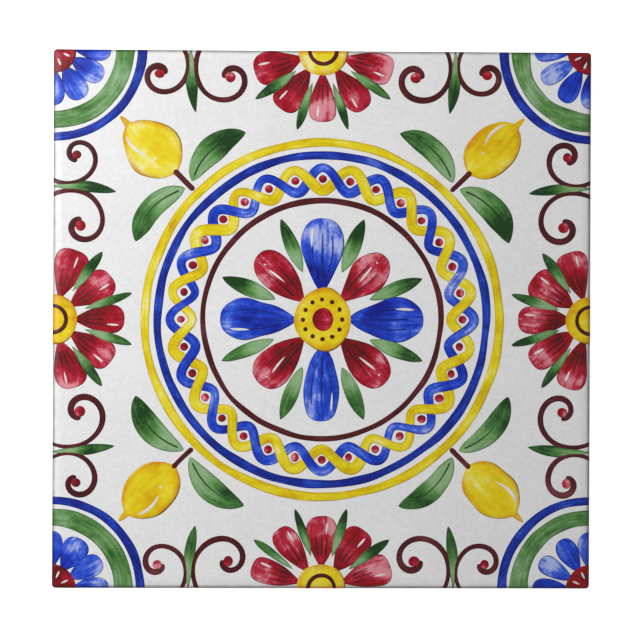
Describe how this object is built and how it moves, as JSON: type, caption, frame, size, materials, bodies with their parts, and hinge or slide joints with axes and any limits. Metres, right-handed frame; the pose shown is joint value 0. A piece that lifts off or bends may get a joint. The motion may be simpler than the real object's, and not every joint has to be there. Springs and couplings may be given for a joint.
{
  "type": "majolica tile",
  "caption": "Square glazed ceramic wall tile with a painted face, cushion edges and a ribbed back keyed for adhesive.",
  "frame": {"origin": "middle of the back, on the plane of its raised ribs", "axes": "+Z out of the glazed face, X and Y along the edges; the tile lies face up"},
  "size_m": [0.1524, 0.1524, 0.0063],
  "materials": {
    "glazed_ceramic": "glossy white glaze with painted decoration on a pale pressed body"
  },
  "bodies": {
    "root": {"tile": "glazed_ceramic"}
  },
  "joints": []
}
